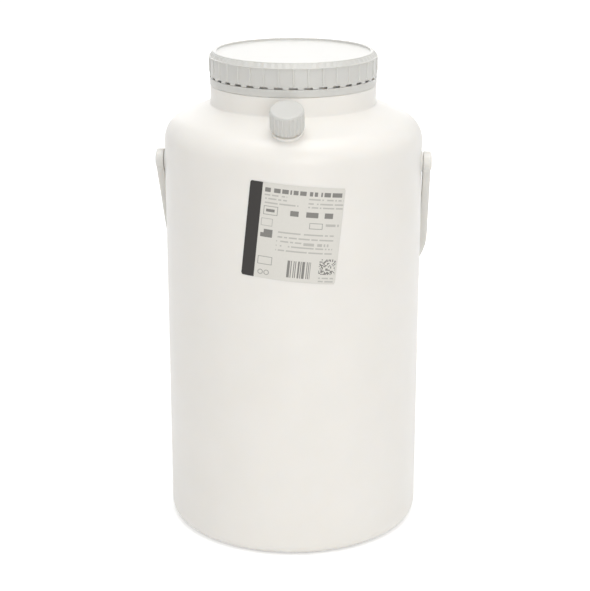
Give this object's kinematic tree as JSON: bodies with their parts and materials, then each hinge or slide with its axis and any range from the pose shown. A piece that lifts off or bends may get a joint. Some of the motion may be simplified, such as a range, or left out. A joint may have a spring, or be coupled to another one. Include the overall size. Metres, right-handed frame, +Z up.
{
  "type": "urine bottle",
  "caption": "Wide-mouth urine jar with a screw lid and tamper band, a capped spout on the shoulder and a swinging bail handle.",
  "frame": {"origin": "where the jar's axis meets the surface that it stands on", "axes": "+Z up along the jar's axis, -Y towards the spout and the label, X along the pins of the handle"},
  "size_m": [0.1402, 0.1409, 0.2462],
  "materials": {
    "jar": "satin",
    "lid": "satin",
    "handle": "satin",
    "liner": "matte",
    "label": "matte"
  },
  "bodies": {
    "jar": {"jar": "jar", "tamper_band": "lid", "label": "label"},
    "lid_seal": {"lid_liner": "liner"},
    "lid": {"lid": "lid"},
    "spout_seal": {"spout_cap_liner": "liner"},
    "spout_cap": {"spout_cap": "lid"},
    "handle": {"handle": "handle"}
  },
  "joints": [
    {"name": "lid_lift", "type": "slide", "parent": "jar", "child": "lid_seal", "axis": [0, 0, 1], "range_m": [0, 0.018]},
    {"name": "lid_turn", "type": "hinge", "parent": "lid_seal", "child": "lid", "pos_m": [0, 0, 0.2437], "axis": [0, 0, 1], "range_deg": [0, 1080]},
    {"name": "spout_cap_lift", "type": "slide", "parent": "jar", "child": "spout_seal", "axis": [0, -0.3907, 0.9205], "range_m": [0, 0.0105]},
    {"name": "spout_cap_turn", "type": "hinge", "parent": "spout_seal", "child": "spout_cap", "pos_m": [0, -0.0571, 0.22553], "axis": [0, -0.3907, 0.9205], "range_deg": [0, 1260]},
    {"name": "handle_swing", "type": "hinge", "parent": "jar", "child": "handle", "pos_m": [0, 0, 0.19], "axis": [1, 0, 0], "range_deg": [0, 284]}
  ],
  "couplings": [
    {"joint": "lid_turn", "follows": "lid_lift", "rad_per_m": 1047.2},
    {"joint": "spout_cap_turn", "follows": "spout_cap_lift", "rad_per_m": 2094.4}
  ]
}
